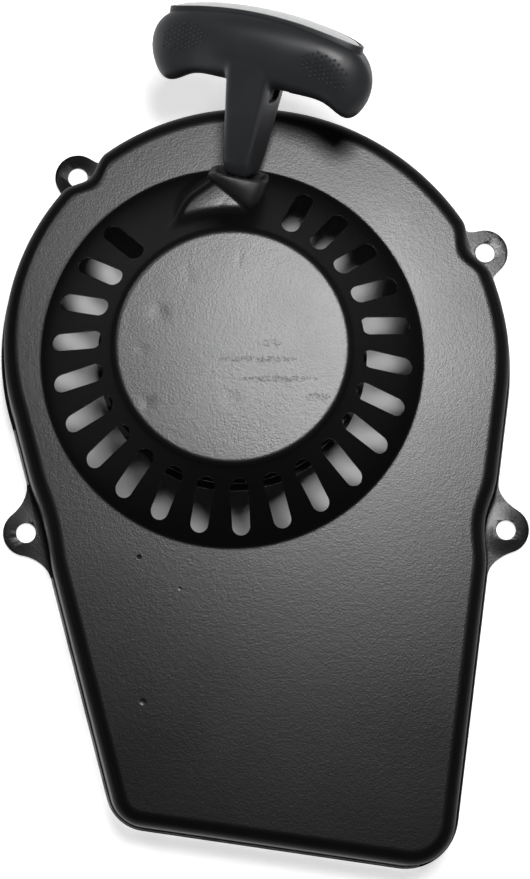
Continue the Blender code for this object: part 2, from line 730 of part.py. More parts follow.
def make_friction_plate(steel):
    profile = [(6.4, PLATE_LOW), (PLATE_R, PLATE_LOW), (PLATE_R, PLATE_HIGH), (6.4, PLATE_HIGH)]
    plate = piece("friction_plate", *turned(profile, 48), steel)
    slots = [moved(prism(cam_slot(DRIVE_PIN_R + 0.5), 4.0, 10.0), Matrix.Rotation(a, 4, "Z"))
             for a in (0, math.pi)]
    cut(plate, joined(*slots), "cam_slots")
    return plate


def make_centre_bolt(steel, washer_steel):
    hexagon = [polar(5.0 / math.cos(math.pi / 6), math.tau * k / 6) for k in range(6)]
    bolt = piece("center_bolt", *prism(hexagon, 0.0, 4.4), steel)
    shank = turned([(0, 4.0), (2.9, 4.0), (2.9, 24.0), (0, 25.0)], 20)
    add(bolt, shank, "shank")
    ring = turned([(3.3, 4.7), (9.5, 4.7), (9.5, 5.9), (3.3, 5.9)], 28)
    washer = piece("bolt_washer", *ring, washer_steel)
    return bolt, washer


def make_all():
    clear_scene()
    paint = finish("black_paint", (0.035, 0.035, 0.034), 0.38, 0.0)
    black = finish("black_plastic", (0.022, 0.022, 0.024), 0.55)
    grip_black = finish("grip_plastic", (0.028, 0.029, 0.032), 0.6)
    light = finish("grey_plastic", (0.62, 0.63, 0.62), 0.45)
    nylon = finish("reel_nylon", (0.03, 0.03, 0.032), 0.5)
    zinc = finish("zinc_steel", (0.62, 0.63, 0.64), 0.35, 1.0)
    spring = finish("spring_steel", (0.25, 0.26, 0.28), 0.35, 1.0)
    bronze = finish("bronze", (0.55, 0.38, 0.18), 0.4, 1.0)
    cord = finish("rope_white", (0.7, 0.69, 0.66), 0.85)

    make_housing(paint)
    make_post(zinc)
    make_rope_guide(black)
    make_handle(grip_black, light, zinc, cord)
    piece("rope_lead", *tube(rope_points(), ROPE_R, 8), cord)

    make_reel(nylon)
    bush = [(POST_R + GAP, 14.0), (BUSH_R, 14.0), (BUSH_R, 40.0), (POST_R + GAP, 40.0)]
    piece("reel_bush", *turned(bush, 32), bronze)
    full_r = ROPE_LAYER_R - ROPE_R - GAP
    low, high = GROOVE_LOW + GAP, GROOVE_HIGH - GAP
    ring = [(GROOVE_R + GAP, low), (full_r - 0.6, low), (full_r, low + 0.7),
            (full_r, high - 0.7), (full_r - 0.6, high), (GROOVE_R + GAP, high)]
    piece("rope_winding", *turned(ring, 48), cord)
    make_reel_knot(cord)
    make_spring(spring)
    cover = [(ARBOR_R + 0.6, CUP_TOP + GAP), (CUP_R, CUP_TOP + GAP), (CUP_R, CUP_TOP + 1.0),
             (ARBOR_R + 0.6, CUP_TOP + 1.0)]
    piece("spring_cover", *turned(cover, 48), zinc)

    for k in range(2):
        angle = math.pi * k
        make_pawl(f"pawl_{k + 1}", angle, zinc)
        at = Matrix.Translation((*polar(PAWL_PIVOT_R, angle), 0))
        coil = moved(helix(3.5, 13.9, 16.8, 3, 0.4), at)
        piece(f"pawl_spring_{k + 1}", *coil, spring)
    make_friction_plate(zinc)
    piece("friction_spring", *helix(9.4, 8.7, 12.2, 2.5, 0.5, 16), spring)
    make_centre_bolt(zinc, zinc)


make_all()
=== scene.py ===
import math

import bmesh
import bpy
from mathutils import Matrix, Vector
from mathutils.bvhtree import BVHTree


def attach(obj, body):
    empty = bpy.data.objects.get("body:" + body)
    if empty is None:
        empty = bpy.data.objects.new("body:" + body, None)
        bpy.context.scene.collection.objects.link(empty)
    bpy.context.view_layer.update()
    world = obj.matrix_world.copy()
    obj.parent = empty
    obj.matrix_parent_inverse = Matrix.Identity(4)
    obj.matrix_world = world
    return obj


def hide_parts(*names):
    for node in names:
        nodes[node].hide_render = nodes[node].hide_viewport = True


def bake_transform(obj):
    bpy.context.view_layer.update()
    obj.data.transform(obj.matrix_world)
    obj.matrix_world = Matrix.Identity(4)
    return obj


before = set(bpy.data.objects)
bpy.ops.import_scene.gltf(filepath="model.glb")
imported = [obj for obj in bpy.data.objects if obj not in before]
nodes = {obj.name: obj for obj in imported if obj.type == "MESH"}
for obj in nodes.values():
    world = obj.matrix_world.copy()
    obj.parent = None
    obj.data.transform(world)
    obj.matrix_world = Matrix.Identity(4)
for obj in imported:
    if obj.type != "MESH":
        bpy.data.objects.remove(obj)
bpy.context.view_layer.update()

MM = 0.001


# ============================ Cover ============================
# The cover is one deep pressing in 1.2 mm steel: skirt, rounded edge, flat face, slotted
# cone, raised disc and the short rope hood, with four screw ears left on the trimmed lip.
# It is sprayed satin black, with orange peel on the flats and dry, duller spray on the
# steep sides.
SHEET = 1.2
FACE_Z, DISC_Z = 30.0, 54.0      # height of the flat face, and of the disc on the cone
CONE_LINE = 90.9                 # radius + height all down the 45 degree cone
DISC_FILLET, FOOT_FILLET, EDGE_R = 4.0, 1.6, 5.0
WALL_SLOPE = math.tan(math.radians(5.6))
RIM_LIP, LIP_FILLET = 1.0, 0.75

SPIRAL_CENTRE = Vector((1.51, 0.82))
SPIRAL_R, SPIRAL_GROWTH, SPIRAL_END = 78.56, 4.13, math.radians(4)
LEFT_LEAN, RIGHT_LEAN, BASE_LEAN = (math.radians(a) for a in (14.85, 7.44, 8.27))
BASE_OUT, LEFT_CORNER_R, RIGHT_CORNER_R = 154.6, 14.0, 17.5
EARS = (                         # hole centre, half-width of the foot, scallop in the wall
    (Vector((-52.25, 65.1)), 10.0, 3.1),
    (Vector((84.85, 39.75)), 10.5, 3.1),
    (Vector((-68.3, -54.7)), 16.5, 1.0),
    (Vector((90.8, -53.6)), 15.5, 2.1),
)
EAR_R, EAR_HOLE_R = 7.6, 3.3

HOOD_WAY = math.radians(50)      # the hood runs this way, and ends at its mouth
HOOD_MOUTH = Vector((0.0, 50.2))
HOOD_TOP, HOOD_HALF = 47.7, 4.6
HOOD_BLEND = 2.8                 # height over which it runs into the cone
HOOD_REACH = (37, 66)            # it lies between these radii, above HOOD_LOWEST in Y
HOOD_LOWEST = 20
FINE_R, FINE_ANGLES = (38.5, 63), (55, 128)      # where the mesh is made finer for it


def polar(radius, angle):
    """A point of the plan, from its distance to the axis and its angle."""
    return Vector((radius * math.cos(angle), radius * math.sin(angle)))


def arc(centre, radius, start, end, steps):
    """Points of an arc, both ends included."""
    return [Vector(centre) + polar(radius, start + (end - start) * k / steps)
            for k in range(steps + 1)]


def mesh_piece(name, verts, faces, material, body, slot, smooth_under=32):
    """A finished mesh piece from millimetre points, riding on its body."""
    mesh = bpy.data.meshes.new(name)
    mesh.from_pydata([Vector(v) * MM for v in verts], [], faces)
    bm = bmesh.new()
    bm.from_mesh(mesh)
    bmesh.ops.recalc_face_normals(bm, faces=bm.faces)
    bm.to_mesh(mesh)
    bm.free()
    if material:
        mesh.materials.append(material)
    mesh.shade_smooth()
    mesh.set_sharp_from_angle(angle=math.radians(smooth_under))
    piece = bpy.data.objects.new(name, mesh)
    bpy.context.scene.collection.objects.link(piece)
    if body:
        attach(piece, body)
    return piece


def loft(rings, closed=False):
    """A skin over rings of points: closed end to end, or with a flat cap at each end."""
    n = len(rings[0])
    verts = [v for ring in rings for v in ring]
    faces = []
    for i in range(len(rings) if closed else len(rings) - 1):
        a, b = i * n, ((i + 1) % len(rings)) * n
        faces += [[a + j, a + (j + 1) % n, b + (j + 1) % n, b + j] for j in range(n)]
    if not closed:
        faces += [list(range(n)), list(range(len(verts) - n, len(verts)))]
    return verts, faces


def together(*shapes):
    """Several shapes as one."""
    verts, faces = [], []
    for more, more_faces in shapes:
        base = len(verts)
        verts += list(more)
        faces += [[base + i for i in face] for face in more_faces]
    return verts, faces


def placed(shape, matrix):
    """The shape, moved by a matrix."""
    return [matrix @ Vector(v) for v in shape[0]], shape[1]


def settle(piece):
    """Make the modifiers permanent."""
    graph = bpy.context.evaluated_depsgraph_get()
    mesh = bpy.data.meshes.new_from_object(piece.evaluated_get(graph))
    piece.modifiers.clear()
    piece.data = mesh


def side_normal(lean, sign):
    """Outward direction of a straight side that leans from the vertical."""
    return Vector((sign * math.cos(lean), -math.sin(lean)))


def rounded_corner(n1, out1, n2, out2, radius):
    """The arc between two straight sides, each given by its normal and distance."""
    det = n1.x * n2.y - n1.y * n2.x
    a, b = out1 - radius, out2 - radius
    centre = Vector(((a * n2.y - b * n1.y) / det, (b * n1.x - a * n2.x) / det))
    start = math.atan2(n1.y, n1.x)
    return arc(centre, radius, start, start + (math.atan2(n2.y, n2.x) - start) % math.tau, 30)


def trim_line():
    """Where the lip is trimmed, without the ears: a fan spiral and three straight sides."""
    left, right = side_normal(LEFT_LEAN, -1), side_normal(RIGHT_LEAN, 1)
    base = Vector((-math.sin(BASE_LEAN), -math.cos(BASE_LEAN)))
    start, end = -RIGHT_LEAN, math.pi + LEFT_LEAN
    spiral = []
    for k in range(301):
        angle = start + (end - start) * k / 300
        growth = math.pi - max(angle, SPIRAL_END)
        spiral.append(SPIRAL_CENTRE + polar(SPIRAL_R + SPIRAL_GROWTH * growth, angle))
    return (spiral
            + rounded_corner(left, left.dot(spiral[-1]), base, BASE_OUT, LEFT_CORNER_R)
            + rounded_corner(base, BASE_OUT, right, right.dot(spiral[0]), RIGHT_CORNER_R))


class Line:
    """A closed outline that can be walked by length."""

    def __init__(self, points):
        self.points = points
        self.lengths = [0.0]
        for i, p in enumerate(points):
            step = (points[(i + 1) % len(points)] - p).length
            self.lengths.append(self.lengths[-1] + step)

    def at(self, s):
        s %= self.lengths[-1]
        low, high = 0, len(self.points)
        while high - low > 1:
            middle = (low + high) // 2
            low, high = (middle, high) if self.lengths[middle] <= s else (low, middle)
        a, b = self.points[low], self.points[(low + 1) % len(self.points)]
        return a + (b - a).normalized() * (s - self.lengths[low])

    def normal(self, s):
        along = (self.at(s + 1.5) - self.at(s - 1.5)).normalized()
        return Vector((along.y, -along.x))


def ear_edge(line, foot, half, hole):
    """An ear's edge: a round end about the hole, flared back into the lip."""
    p, n = line.at(foot), line.normal(foot)
    t = Vector((-n.y, n.x))
    h_n, h_t = (hole - p).dot(n), (hole - p).dot(t)
    spread = math.radians(66)
    flares = []
    for sign in (-1, 1):
        root = Vector((0.0, sign * half))
        tip = Vector((h_n + EAR_R * math.cos(spread), h_t + sign * EAR_R * math.sin(spread)))
        pull_out = tip + Vector((-math.sin(spread), sign * math.cos(spread))) * half * 0.25
        pull_in = root - Vector((0.0, sign * half * 0.25))
        flares.append([root * (1 - u) ** 3 + pull_in * 3 * u * (1 - u) ** 2
                       + pull_out * 3 * u * u * (1 - u) + tip * u ** 3
                       for u in (k / 14 for k in range(14))])
    local = flares[0] + arc((h_n, h_t), EAR_R, -spread, spread, 24) + flares[1][::-1]
    return [p + n * q.x + t * q.y for q in local]


STATIONS, EAR_STATIONS = 500, 33
EAR_CLEAR = 0.7                  # plain stations stay this far from an ear's own
FOOT_SAMPLES, TINY = 1500, 1e-9


def stations():
    """(trim point, outward normal, scallop, edge point) all round the cover."""
    line = Line(trim_line())
    total = line.lengths[-1]
    samples = [total * k / FOOT_SAMPLES for k in range(FOOT_SAMPLES)]
    feet = [min(samples, key=lambda s: (line.at(s) - hole).length) for hole, _, _ in EARS]
    marks = [(s, 0.0, None) for s in (total * k / STATIONS for k in range(STATIONS))
             if all(abs(s - foot) > half + EAR_CLEAR
                    for foot, (_, half, _) in zip(feet, EARS))]
    for foot, (hole, half, depth) in zip(feet, EARS):
        edge = ear_edge(line, foot, half, hole)
        steps = [0.0]
        for a, b in zip(edge, edge[1:]):
            steps.append(steps[-1] + (b - a).length)
        for k in range(EAR_STATIONS):
            u = k / (EAR_STATIONS - 1)
            want = steps[-1] * u
            i = max(j for j in range(len(steps) - 1) if steps[j] <= want + TINY)
            share = (want - steps[i]) / max(steps[i + 1] - steps[i], TINY)
            marks.append((foot - half + 2 * half * u, depth * 0.5 * (1 - math.cos(math.tau * u)),
                          edge[i].lerp(edge[i + 1], min(share, 1.0))))
    out = []
    for s, scallop, edge_point in sorted(marks, key=lambda m: m[0]):
        p = line.at(s)
        out.append((p, line.normal(s), scallop, edge_point or p))
    return out


FLAT_R = CONE_LINE - DISC_Z - DISC_FILLET * math.tan(math.pi / 8)
FOOT_IN = CONE_LINE - FACE_Z - FOOT_FILLET * math.tan(math.pi / 8) * math.cos(math.pi / 4)
FOOT_OUT = CONE_LINE - FACE_Z + FOOT_FILLET * math.tan(math.pi / 8)

# Small dents of spot welding and handling: x, y, radius, depth.
DENTS = (
    (-13.7, 22.2, 2.4, 0.03), (-22.6, 10.8, 3.0, 0.09), (-26.2, -17.8, 2.2, 0.08),
    (2.2, 27.4, 1.5, 0.06), (-27.8, -1.0, 2.0, 0.05), (-0.5, -16.0, 3.4, 0.025),
    (22.5, 8.4, 1.4, 0.03),
)


def base_height(r):
    """Height of the cone and disc, with a round shoulder and a small radius at the foot."""
    if r <= FLAT_R:
        return DISC_Z
    shoulder = FLAT_R + DISC_FILLET * math.sin(math.pi / 4)
    if r < shoulder:
        return DISC_Z - DISC_FILLET + math.sqrt(DISC_FILLET ** 2 - (r - FLAT_R) ** 2)
    if r < FOOT_IN:
        return CONE_LINE - r
    if r < FOOT_OUT:
        return FACE_Z + FOOT_FILLET - math.sqrt(max(FOOT_FILLET ** 2 - (FOOT_OUT - r) ** 2, 0))
    return FACE_Z


def rolled_off(past, radius, round_to, side_from, slope):
    """The drop past an edge: a round shoulder, then a steep straight side."""
    if past <= 0:
        return 0.0
    shoulder = radius - math.sqrt(radius ** 2 - min(past, round_to) ** 2)
    return shoulder + slope * max(past - side_from, 0)


def hood_height(x, y):
    """Top of the rope hood: nearly flat, wider half way along, with steep sides."""
    way = polar(1, HOOD_WAY)
    off = Vector((x, y)) - HOOD_MOUTH
    along, across = off.dot(way), abs(off.x * way.y - off.y * way.x)
    across -= 2.6 * math.exp(-((along + 11.0) / 8.0) ** 2)
    crown = 0.5 * (across / 8) ** 2
    over_side = rolled_off(across - HOOD_HALF, 3.6, 3.2, 3.0, 2.4)
    over_end = rolled_off(along + 2.2, 2.2, 2.1, 2.1, 7.0)
    return HOOD_TOP - crown - over_side - over_end


def pressed_height(x, y):
    """Height of the cover's outer side: cone and face, rope hood and dents."""
    r = math.hypot(x, y)
    z = base_height(r)
    if HOOD_REACH[0] < r < HOOD_REACH[1] and y > HOOD_LOWEST:
        hood = hood_height(x, y)
        close = max(HOOD_BLEND - abs(hood - z), 0) / HOOD_BLEND
        z = max(hood, z) + close * close * HOOD_BLEND / 4
    for dx, dy, radius, depth in DENTS:
        d2 = ((x - dx) ** 2 + (y - dy) ** 2) / radius ** 2
        if d2 < 6:
            z -= depth * math.exp(-1.6 * d2)
    return z


def cover_columns():
    """One line of points from the middle of the disc to the trimmed edge, per station."""
    columns = []
    for p, n, scallop, edge_point in stations():
        column = []
        full = RIM_LIP + (FACE_Z - EDGE_R) * WALL_SLOPE + EDGE_R
        flat_end = p - n * (full + scallop)
        angle = math.atan2(flat_end.y, flat_end.x)
        radii = [1.5 * k for k in range(1, 22)] + [33.0, 34.4, FLAT_R - 0.3]
        radii += [FLAT_R + DISC_FILLET * math.sin(math.pi / 4) * k / 6 for k in range(7)]
        slope_from, slope_to = radii[-1], FOOT_IN
        radii += [slope_from + (slope_to - slope_from) * k / 18 for k in range(1, 19)]
        radii += [FOOT_IN + (FOOT_OUT - FOOT_IN) * k / 4 for k in range(1, 5)]
        for r in radii:
            q = polar(r, angle)
            column.append((q.x, q.y, pressed_height(q.x, q.y)))
        foot = polar(FOOT_OUT, angle)
        run = flat_end - foot
        fine = 0.5 / run.length
        shares = [fine, 0.06, 0.16, 0.3, 0.45, 0.6, 0.74, 0.86, 0.95, 1 - fine, 1.0]
        for u in sorted(shares):
            q = foot + run * u
            column.append((q.x, q.y, pressed_height(q.x, q.y)))
        for k in range(1, 9):
            a = math.pi / 2 * (1 - k / 8)
            q = p - n * (full - EDGE_R + EDGE_R * (1 - math.cos(a)) + scallop)
            column.append((q.x, q.y, FACE_Z - EDGE_R + EDGE_R * math.sin(a)))
        for z in (20.0, 14.0, 8.0, 4.0, SHEET + LIP_FILLET):
            q = p - n * (RIM_LIP + z * WALL_SLOPE + scallop)
            column.append((q.x, q.y, z))
        for k in range(1, 4):
            a = math.pi / 2 * k / 3
            lean = 0.1 * (1 - k / 3)
            q = p - n * (RIM_LIP + scallop - LIP_FILLET * (1 - math.cos(a)) + lean)
            column.append((q.x, q.y, SHEET + LIP_FILLET * (1 - math.sin(a))))
        root = Vector(column[-1][:2])
        for u in (0.15, 0.5, 0.9, 1.0):
            q = root.lerp(edge_point, u)
            column.append((q.x, q.y, SHEET))
        columns.append(column)
    return columns


def cover_sheet():
    """The outer side of the pressing as one sheet, with no thickness yet."""
    columns = cover_columns()
    verts = [(0.0, 0.0, DISC_Z)] + [v for column in columns for v in column]
    n, count = len(columns), len(columns[0])
    faces = []
    for i in range(n):
        a, b = 1 + i * count, 1 + ((i + 1) % n) * count
        faces.append([0, a, b])
        faces += [[a + k, a + k + 1, b + k + 1, b + k] for k in range(count - 1)]
    return verts, faces


def refine_hood(piece):
    """Finer mesh round the hood, then its pressed shape."""
    bm = bmesh.new()
    bm.from_mesh(piece.data)

    def near(co, margin):
        x, y = co.x / MM, co.y / MM
        r, a = math.hypot(x, y), math.degrees(math.atan2(y, x))
        return (FINE_R[0] - margin < r < FINE_R[1] + margin
                and FINE_ANGLES[0] - margin < a < FINE_ANGLES[1] + margin)
    edges = {e for f in bm.faces if near(f.calc_center_median(), 0) for e in f.edges}
    bmesh.ops.subdivide_edges(bm, edges=list(edges), cuts=2, use_grid_fill=True)
    for v in bm.verts:
        if near(v.co, 2) and v.co.z > (FACE_Z - 0.5) * MM:
            v.co.z = pressed_height(v.co.x / MM, v.co.y / MM) * MM
    bm.to_mesh(piece.data)
    bm.free()


SLOT_COUNT, SLOT_PITCH, SLOT_START = 22, math.tau / 26, math.radians(65.3)
SLOT_IN, SLOT_OUT, SLOT_W = 40.7, 57.5, 5.7
NECK_R, NECK_Z = 4.6, 40.4       # the hole in the hood's end for the guide's neck


def punch_tools():
    """The punches for the slots, the ear holes and the rope guide's neck."""
    shapes = []
    r = SLOT_W / 2
    outline = (arc((SLOT_OUT - r, 0), r, -math.pi / 2, math.pi / 2, 14)
               + arc((SLOT_IN + r, 0), r, math.pi / 2, 3 * math.pi / 2, 14))
    punch = loft([[(x, y, z) for x, y in outline] for z in (22.0, 60.0)])
    for k in range(SLOT_COUNT):
        shapes.append(placed(punch, Matrix.Rotation(SLOT_START - SLOT_PITCH * k, 4, "Z")))
    for hole, _, _ in EARS:
        ring = arc(hole, EAR_HOLE_R, 0, math.tau * 35 / 36, 35)
        shapes.append(loft([[(x, y, z) for x, y in ring] for z in (-1.0, 3.0)]))
    way = Vector((*polar(1, HOOD_WAY), 0))
    side, up = Vector((way.y, -way.x, 0)), Vector((0, 0, 1))
    middle = Vector((*HOOD_MOUTH, NECK_Z))
    shapes.append(loft([[middle + way * s + NECK_R * (math.cos(t) * side + math.sin(t) * up)
                         for t in (math.tau * k / 32 for k in range(32))]
                        for s in (-5.0, 8.0)]))
    return together(*shapes)


class Shader:
    """A Principled material, and short ways to wire noise into it. Texture scales are in
    features per metre, in the object's own coordinates."""

    def __init__(self, name, colour, roughness, metallic=0.0, specular=0.5):
        self.material = bpy.data.materials.new(name)
        self.material.use_nodes = True
        self.tree = self.material.node_tree
        self.bsdf = self.tree.nodes["Principled BSDF"]
        self.bsdf.inputs["Base Color"].default_value = (*colour, 1.0)
        self.bsdf.inputs["Roughness"].default_value = roughness
        self.bsdf.inputs["Metallic"].default_value = metallic
        self.bsdf.inputs["Specular IOR Level"].default_value = specular
        self.coords = self.node("TexCoord").outputs["Object"]
        self.last_bump = None

    def node(self, kind, **values):
        made = self.tree.nodes.new("ShaderNode" + kind)
        for key, value in values.items():
            setattr(made, key, value)
        return made

    def join(self, a, b):
        self.tree.links.new(a, b)

    def noise(self, scale, detail=3.0, rough=0.5, stretch=None):
        source = self.coords
        if stretch:
            mapping = self.node("Mapping")
            mapping.inputs["Scale"].default_value = stretch
            self.join(source, mapping.inputs["Vector"])
            source = mapping.outputs["Vector"]
        made = self.node("TexNoise")
        for key, value in (("Scale", scale), ("Detail", detail), ("Roughness", rough)):
            made.inputs[key].default_value = value
        self.join(source, made.inputs["Vector"])
        return made.outputs["Fac"]

    def ramp(self, source, low, high, to_low, to_high):
        """A soft step of the source, from one range to another."""
        made = self.node("MapRange", interpolation_type="SMOOTHSTEP")
        for key, value in (("From Min", low), ("From Max", high), ("To Min", to_low),
                           ("To Max", to_high)):
            made.inputs[key].default_value = value
        self.join(source, made.inputs["Value"])
        return made.outputs["Result"]

    def times(self, a, b):
        made = self.node("Math", operation="MULTIPLY")
        self.join(a, made.inputs[0])
        if isinstance(b, (int, float)):
            made.inputs[1].default_value = b
        else:
            self.join(b, made.inputs[1])
        return made.outputs[0]

    def within(self, centre, radius, core=0.4, tall=1.0):
        """1 round a place on the piece, falling from its core to 0 at a radius in mm. Its
        height in Y is the given share of its width."""
        mapping = self.node("Mapping")
        mapping.inputs["Scale"].default_value = (1.0, 1.0 / tall, 1.0)
        self.join(self.coords, mapping.inputs["Vector"])
        gap = self.node("VectorMath", operation="DISTANCE")
        gap.inputs[1].default_value = [c * MM / s for c, s in zip(centre, (1.0, tall, 1.0))]
        self.join(mapping.outputs["Vector"], gap.inputs[0])
        return self.ramp(gap.outputs["Value"], radius * MM, radius * core * MM, 0, 1)

    def tint(self, amount, colour):
        """Mix a colour over what the base colour has so far."""
        mix = self.node("Mix", data_type="RGBA")
        socket = self.bsdf.inputs["Base Color"]
        if socket.is_linked:
            self.join(socket.links[0].from_socket, mix.inputs[6])
        else:
            mix.inputs[6].default_value = socket.default_value
        mix.inputs[7].default_value = (*colour, 1.0)
        self.join(amount, mix.inputs[0])
        self.join(mix.outputs[2], socket)

    def roughness(self, source):
        self.join(source, self.bsdf.inputs["Roughness"])

    def bump(self, height, depth_mm, strength=1.0):
        made = self.node("Bump")
        made.inputs["Distance"].default_value = depth_mm * MM
        made.inputs["Strength"].default_value = strength
        self.join(height, made.inputs["Height"])
        if self.last_bump:
            self.join(self.last_bump, made.inputs["Normal"])
        self.last_bump = made.outputs["Normal"]
        self.join(self.last_bump, self.bsdf.inputs["Normal"])


CHIPS = (                        # small pits in the face's paint: place, radius, depth
    ((-29.5, -64.0), 0.9, 0.22), ((-28.0, -109.6), 1.4, 0.10), ((-16.5, -74.0), 0.7, 0.06),
)
RUB_ROWS = (                     # rub marks on the disc: place, half-length, height's share
    ((11.7, 0.9), 4.6, 0.3), ((7.7, -4.1), 15.0, 0.08), ((14.2, -10.3), 15.5, 0.08),
    ((25.9, -15.9), 5.4, 0.3),
)
EAR_DISHING = (1.4, 0.1, 0.3, 0.8)

paint = Shader("satin_black_paint", (0.003, 0.003, 0.0029), 0.28, specular=0.33)
paint.tint(paint.ramp(paint.noise(45, 5, 0.6), 0.1, 0.9, 0, 0.5), (0.0045, 0.0045, 0.0042))
paint.bump(paint.noise(640, 2, 0.5), 0.05, 0.42)
paint.bump(paint.noise(1500, 2, 0.6), 0.04, 0.8)
paint.bump(paint.noise(38, 2, 0.5), 0.4, 0.06)
for chip, size, depth in CHIPS:
    paint.bump(paint.within((*chip, FACE_Z), size, 0.0), -depth)
for (hole, _, _), dishing in zip(EARS, EAR_DISHING):
    paint.bump(paint.within((*hole, SHEET), 10.0, 0.0), dishing)

# Steep sides get less gloss: the further a surface turns from level, the drier its spray.
facing = paint.node("SeparateXYZ")
paint.join(paint.node("TexCoord").outputs["Normal"], facing.inputs[0])
dry_spray = paint.ramp(facing.outputs["Z"], 0.97, 0.80, 0, 1)
paint.join(paint.ramp(dry_spray, 0, 1, 0.33, 0.09), paint.bsdf.inputs["Specular IOR Level"])
patchy = paint.ramp(paint.noise(14, 4, 0.55), 0.3, 0.7, 0.262, 0.30)
rougher = paint.node("Math", operation="MULTIPLY_ADD")
rougher.inputs[1].default_value = 0.16
paint.join(dry_spray, rougher.inputs[0])
paint.join(patchy, rougher.inputs[2])
paint.roughness(rougher.outputs[0])

for spot, size, tall in RUB_ROWS:
    rubbed = paint.within((*spot, DISC_Z), size, 0.75, tall)
    rubs = paint.times(paint.noise(1100, 3, 0.7), rubbed)
    paint.bump(paint.ramp(rubs, 0.47, 0.62, 0, 1), -0.04, 0.35)
dust = paint.times(paint.noise(300, 4, 0.7), paint.within((20, -20, DISC_Z), 24))
paint.tint(paint.ramp(dust, 0.60, 0.72, 0, 0.3), (0.03, 0.029, 0.027))

# Painted highlight: a near-white material with grey blotches, laid on the lip's trimmed edge
# where it catches the light.
edge_highlight_paint = Shader("painted_edge_highlight", (0.85, 0.85, 0.84), 0.45)
edge_highlight_paint.roughness(edge_highlight_paint.ramp(edge_highlight_paint.noise(200, 3), 0.3, 0.7, 0.4, 0.6))
edge_highlight_paint.tint(edge_highlight_paint.ramp(edge_highlight_paint.noise(70, 4, 0.6), 0.45, 0.65, 0, 0.6),
                (0.22, 0.22, 0.22))
edge_highlight_paint.bump(edge_highlight_paint.noise(900, 2), 0.03, 0.3)


HIGHLIGHT_QUADS = 5                   # the last of each station: foot of the fillet, and the lip
HIGHLIGHT_BELOW, HIGHLIGHT_LEFT_OF = -20, 60


def paint_edge_highlight(piece):
    """Painted highlight: the lip's trimmed edge gets the near-white edge material, along the
    left and bottom sides only.
    """
    piece.data.materials.append(edge_highlight_paint.material)
    marks = stations()
    per_station = len(piece.data.polygons) // len(marks)
    for i, (p, _, _, edge_point) in enumerate(marks):
        if edge_point == p and p.y < HIGHLIGHT_BELOW and p.x < HIGHLIGHT_LEFT_OF:
            for k in range(per_station - HIGHLIGHT_QUADS, per_station):
                piece.data.polygons[i * per_station + k].material_index = 1


cover = mesh_piece("housing_pressing", *cover_sheet(), paint.material, "housing",
                   "black_paint")
paint_edge_highlight(cover)
refine_hood(cover)
thick = cover.modifiers.new("sheet", "SOLIDIFY")
thick.thickness = SHEET * MM
thick.offset = -1
thick.use_even_offset = True
tools = mesh_piece("punches", *punch_tools(), paint.material, None, None)
punched = cover.modifiers.new("punched", "BOOLEAN")
punched.operation, punched.solver, punched.object = "DIFFERENCE", "EXACT", tools
eased = cover.modifiers.new("eased_edges", "BEVEL")
eased.width, eased.segments, eased.limit_method = 0.2 * MM, 2, "ANGLE"
eased.angle_limit, eased.use_clamp_overlap = math.radians(55), True
settle(cover)
bpy.data.objects.remove(tools)
cover.data.set_sharp_from_angle(angle=math.radians(34))
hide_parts("housing")


# ============================ Rope guide ============================
# A small moulded block in the end of the hood. The rope comes out through it, and the
# handle's stem comes home in the funnel in its face. Black plastic, snapped in.
MOUTH = Vector((2.6, 57.0, 43.0))
PULL_RISE, PULL_LEAN = math.radians(25), 0.154
GUIDE_HALF_W, GUIDE_HALF_H = 9.3, 7.0
GUIDE_FLARE = 0.8                # how much higher it is at the mouth than at the hood


def pull_frame(twist=0.0):
    """At the guide's mouth: X along the T, Y along the pull, Z to the front."""
    rise = math.sin(PULL_RISE)
    pull = Vector((PULL_LEAN, math.sqrt(1 - PULL_LEAN ** 2 - rise ** 2), rise))
    front = (Vector((0, 0, 1)) - pull * pull.z).normalized()
    across = pull.cross(front)
    b = across * math.cos(twist) + front * math.sin(twist)
    f = front * math.cos(twist) - across * math.sin(twist)
    return Matrix.Translation(MOUTH) @ Matrix((b, pull, f)).transposed().to_4x4()


def squircle(centre, x_axis, y_axis, half_x, half_y, power, count):
    """A ring between an ellipse (power 2) and a rectangle (a high power)."""
    ring = []
    for k in range(count):
        t = math.tau * k / count
        c, s = math.cos(t), math.sin(t)
        ring.append(centre + x_axis * half_x * math.copysign(abs(c) ** (2 / power), c)
                    + y_axis * half_y * math.copysign(abs(s) ** (2 / power), s))
    return ring


def guide_rings():
    """The block from the hood's end to its mouth, and then down into the funnel."""
    way = Vector((*polar(1, HOOD_WAY), 0))
    pull, mouth_x, mouth_f = (pull_frame().to_3x3().col[i] for i in (1, 0, 2))
    base = Vector((*HOOD_MOUTH, 40.5)) - way * 1.5
    base_x = Vector((way.y, -way.x, 0))

    def ring(u, grow, sink=0.0, power=4.2):
        centre = base.lerp(MOUTH, u) + Vector((0, 0, 0.6)) * math.sin(math.pi * u)
        centre -= pull * sink
        x_axis = base_x.lerp(mouth_x, u).normalized()
        y_axis = Vector((0, 0, 1)).lerp(mouth_f, u).normalized()
        half_h = GUIDE_HALF_H + GUIDE_FLARE * u
        return squircle(centre, x_axis, y_axis, GUIDE_HALF_W * grow, half_h * grow, power, 56)
    rings = [ring(0, 0.86), ring(0.03, 0.93)]
    rings += [ring(u, 1.0) for u in (0.15, 0.3, 0.45, 0.6, 0.75, 0.88)]
    rings += [ring(0.94, 0.995), ring(0.98, 0.975), ring(1.0, 0.94), ring(1.0, 0.84, 0.05)]
    rings += [ring(1.0, 0.80, 0.4, 3.8), ring(1.0, 0.70, 1.6, 3.2), ring(1.0, 0.56, 3.0, 2.8),
              ring(1.0, 0.42, 4.2, 2.2), ring(1.0, 0.26, 5.0, 2.0)]
    return rings


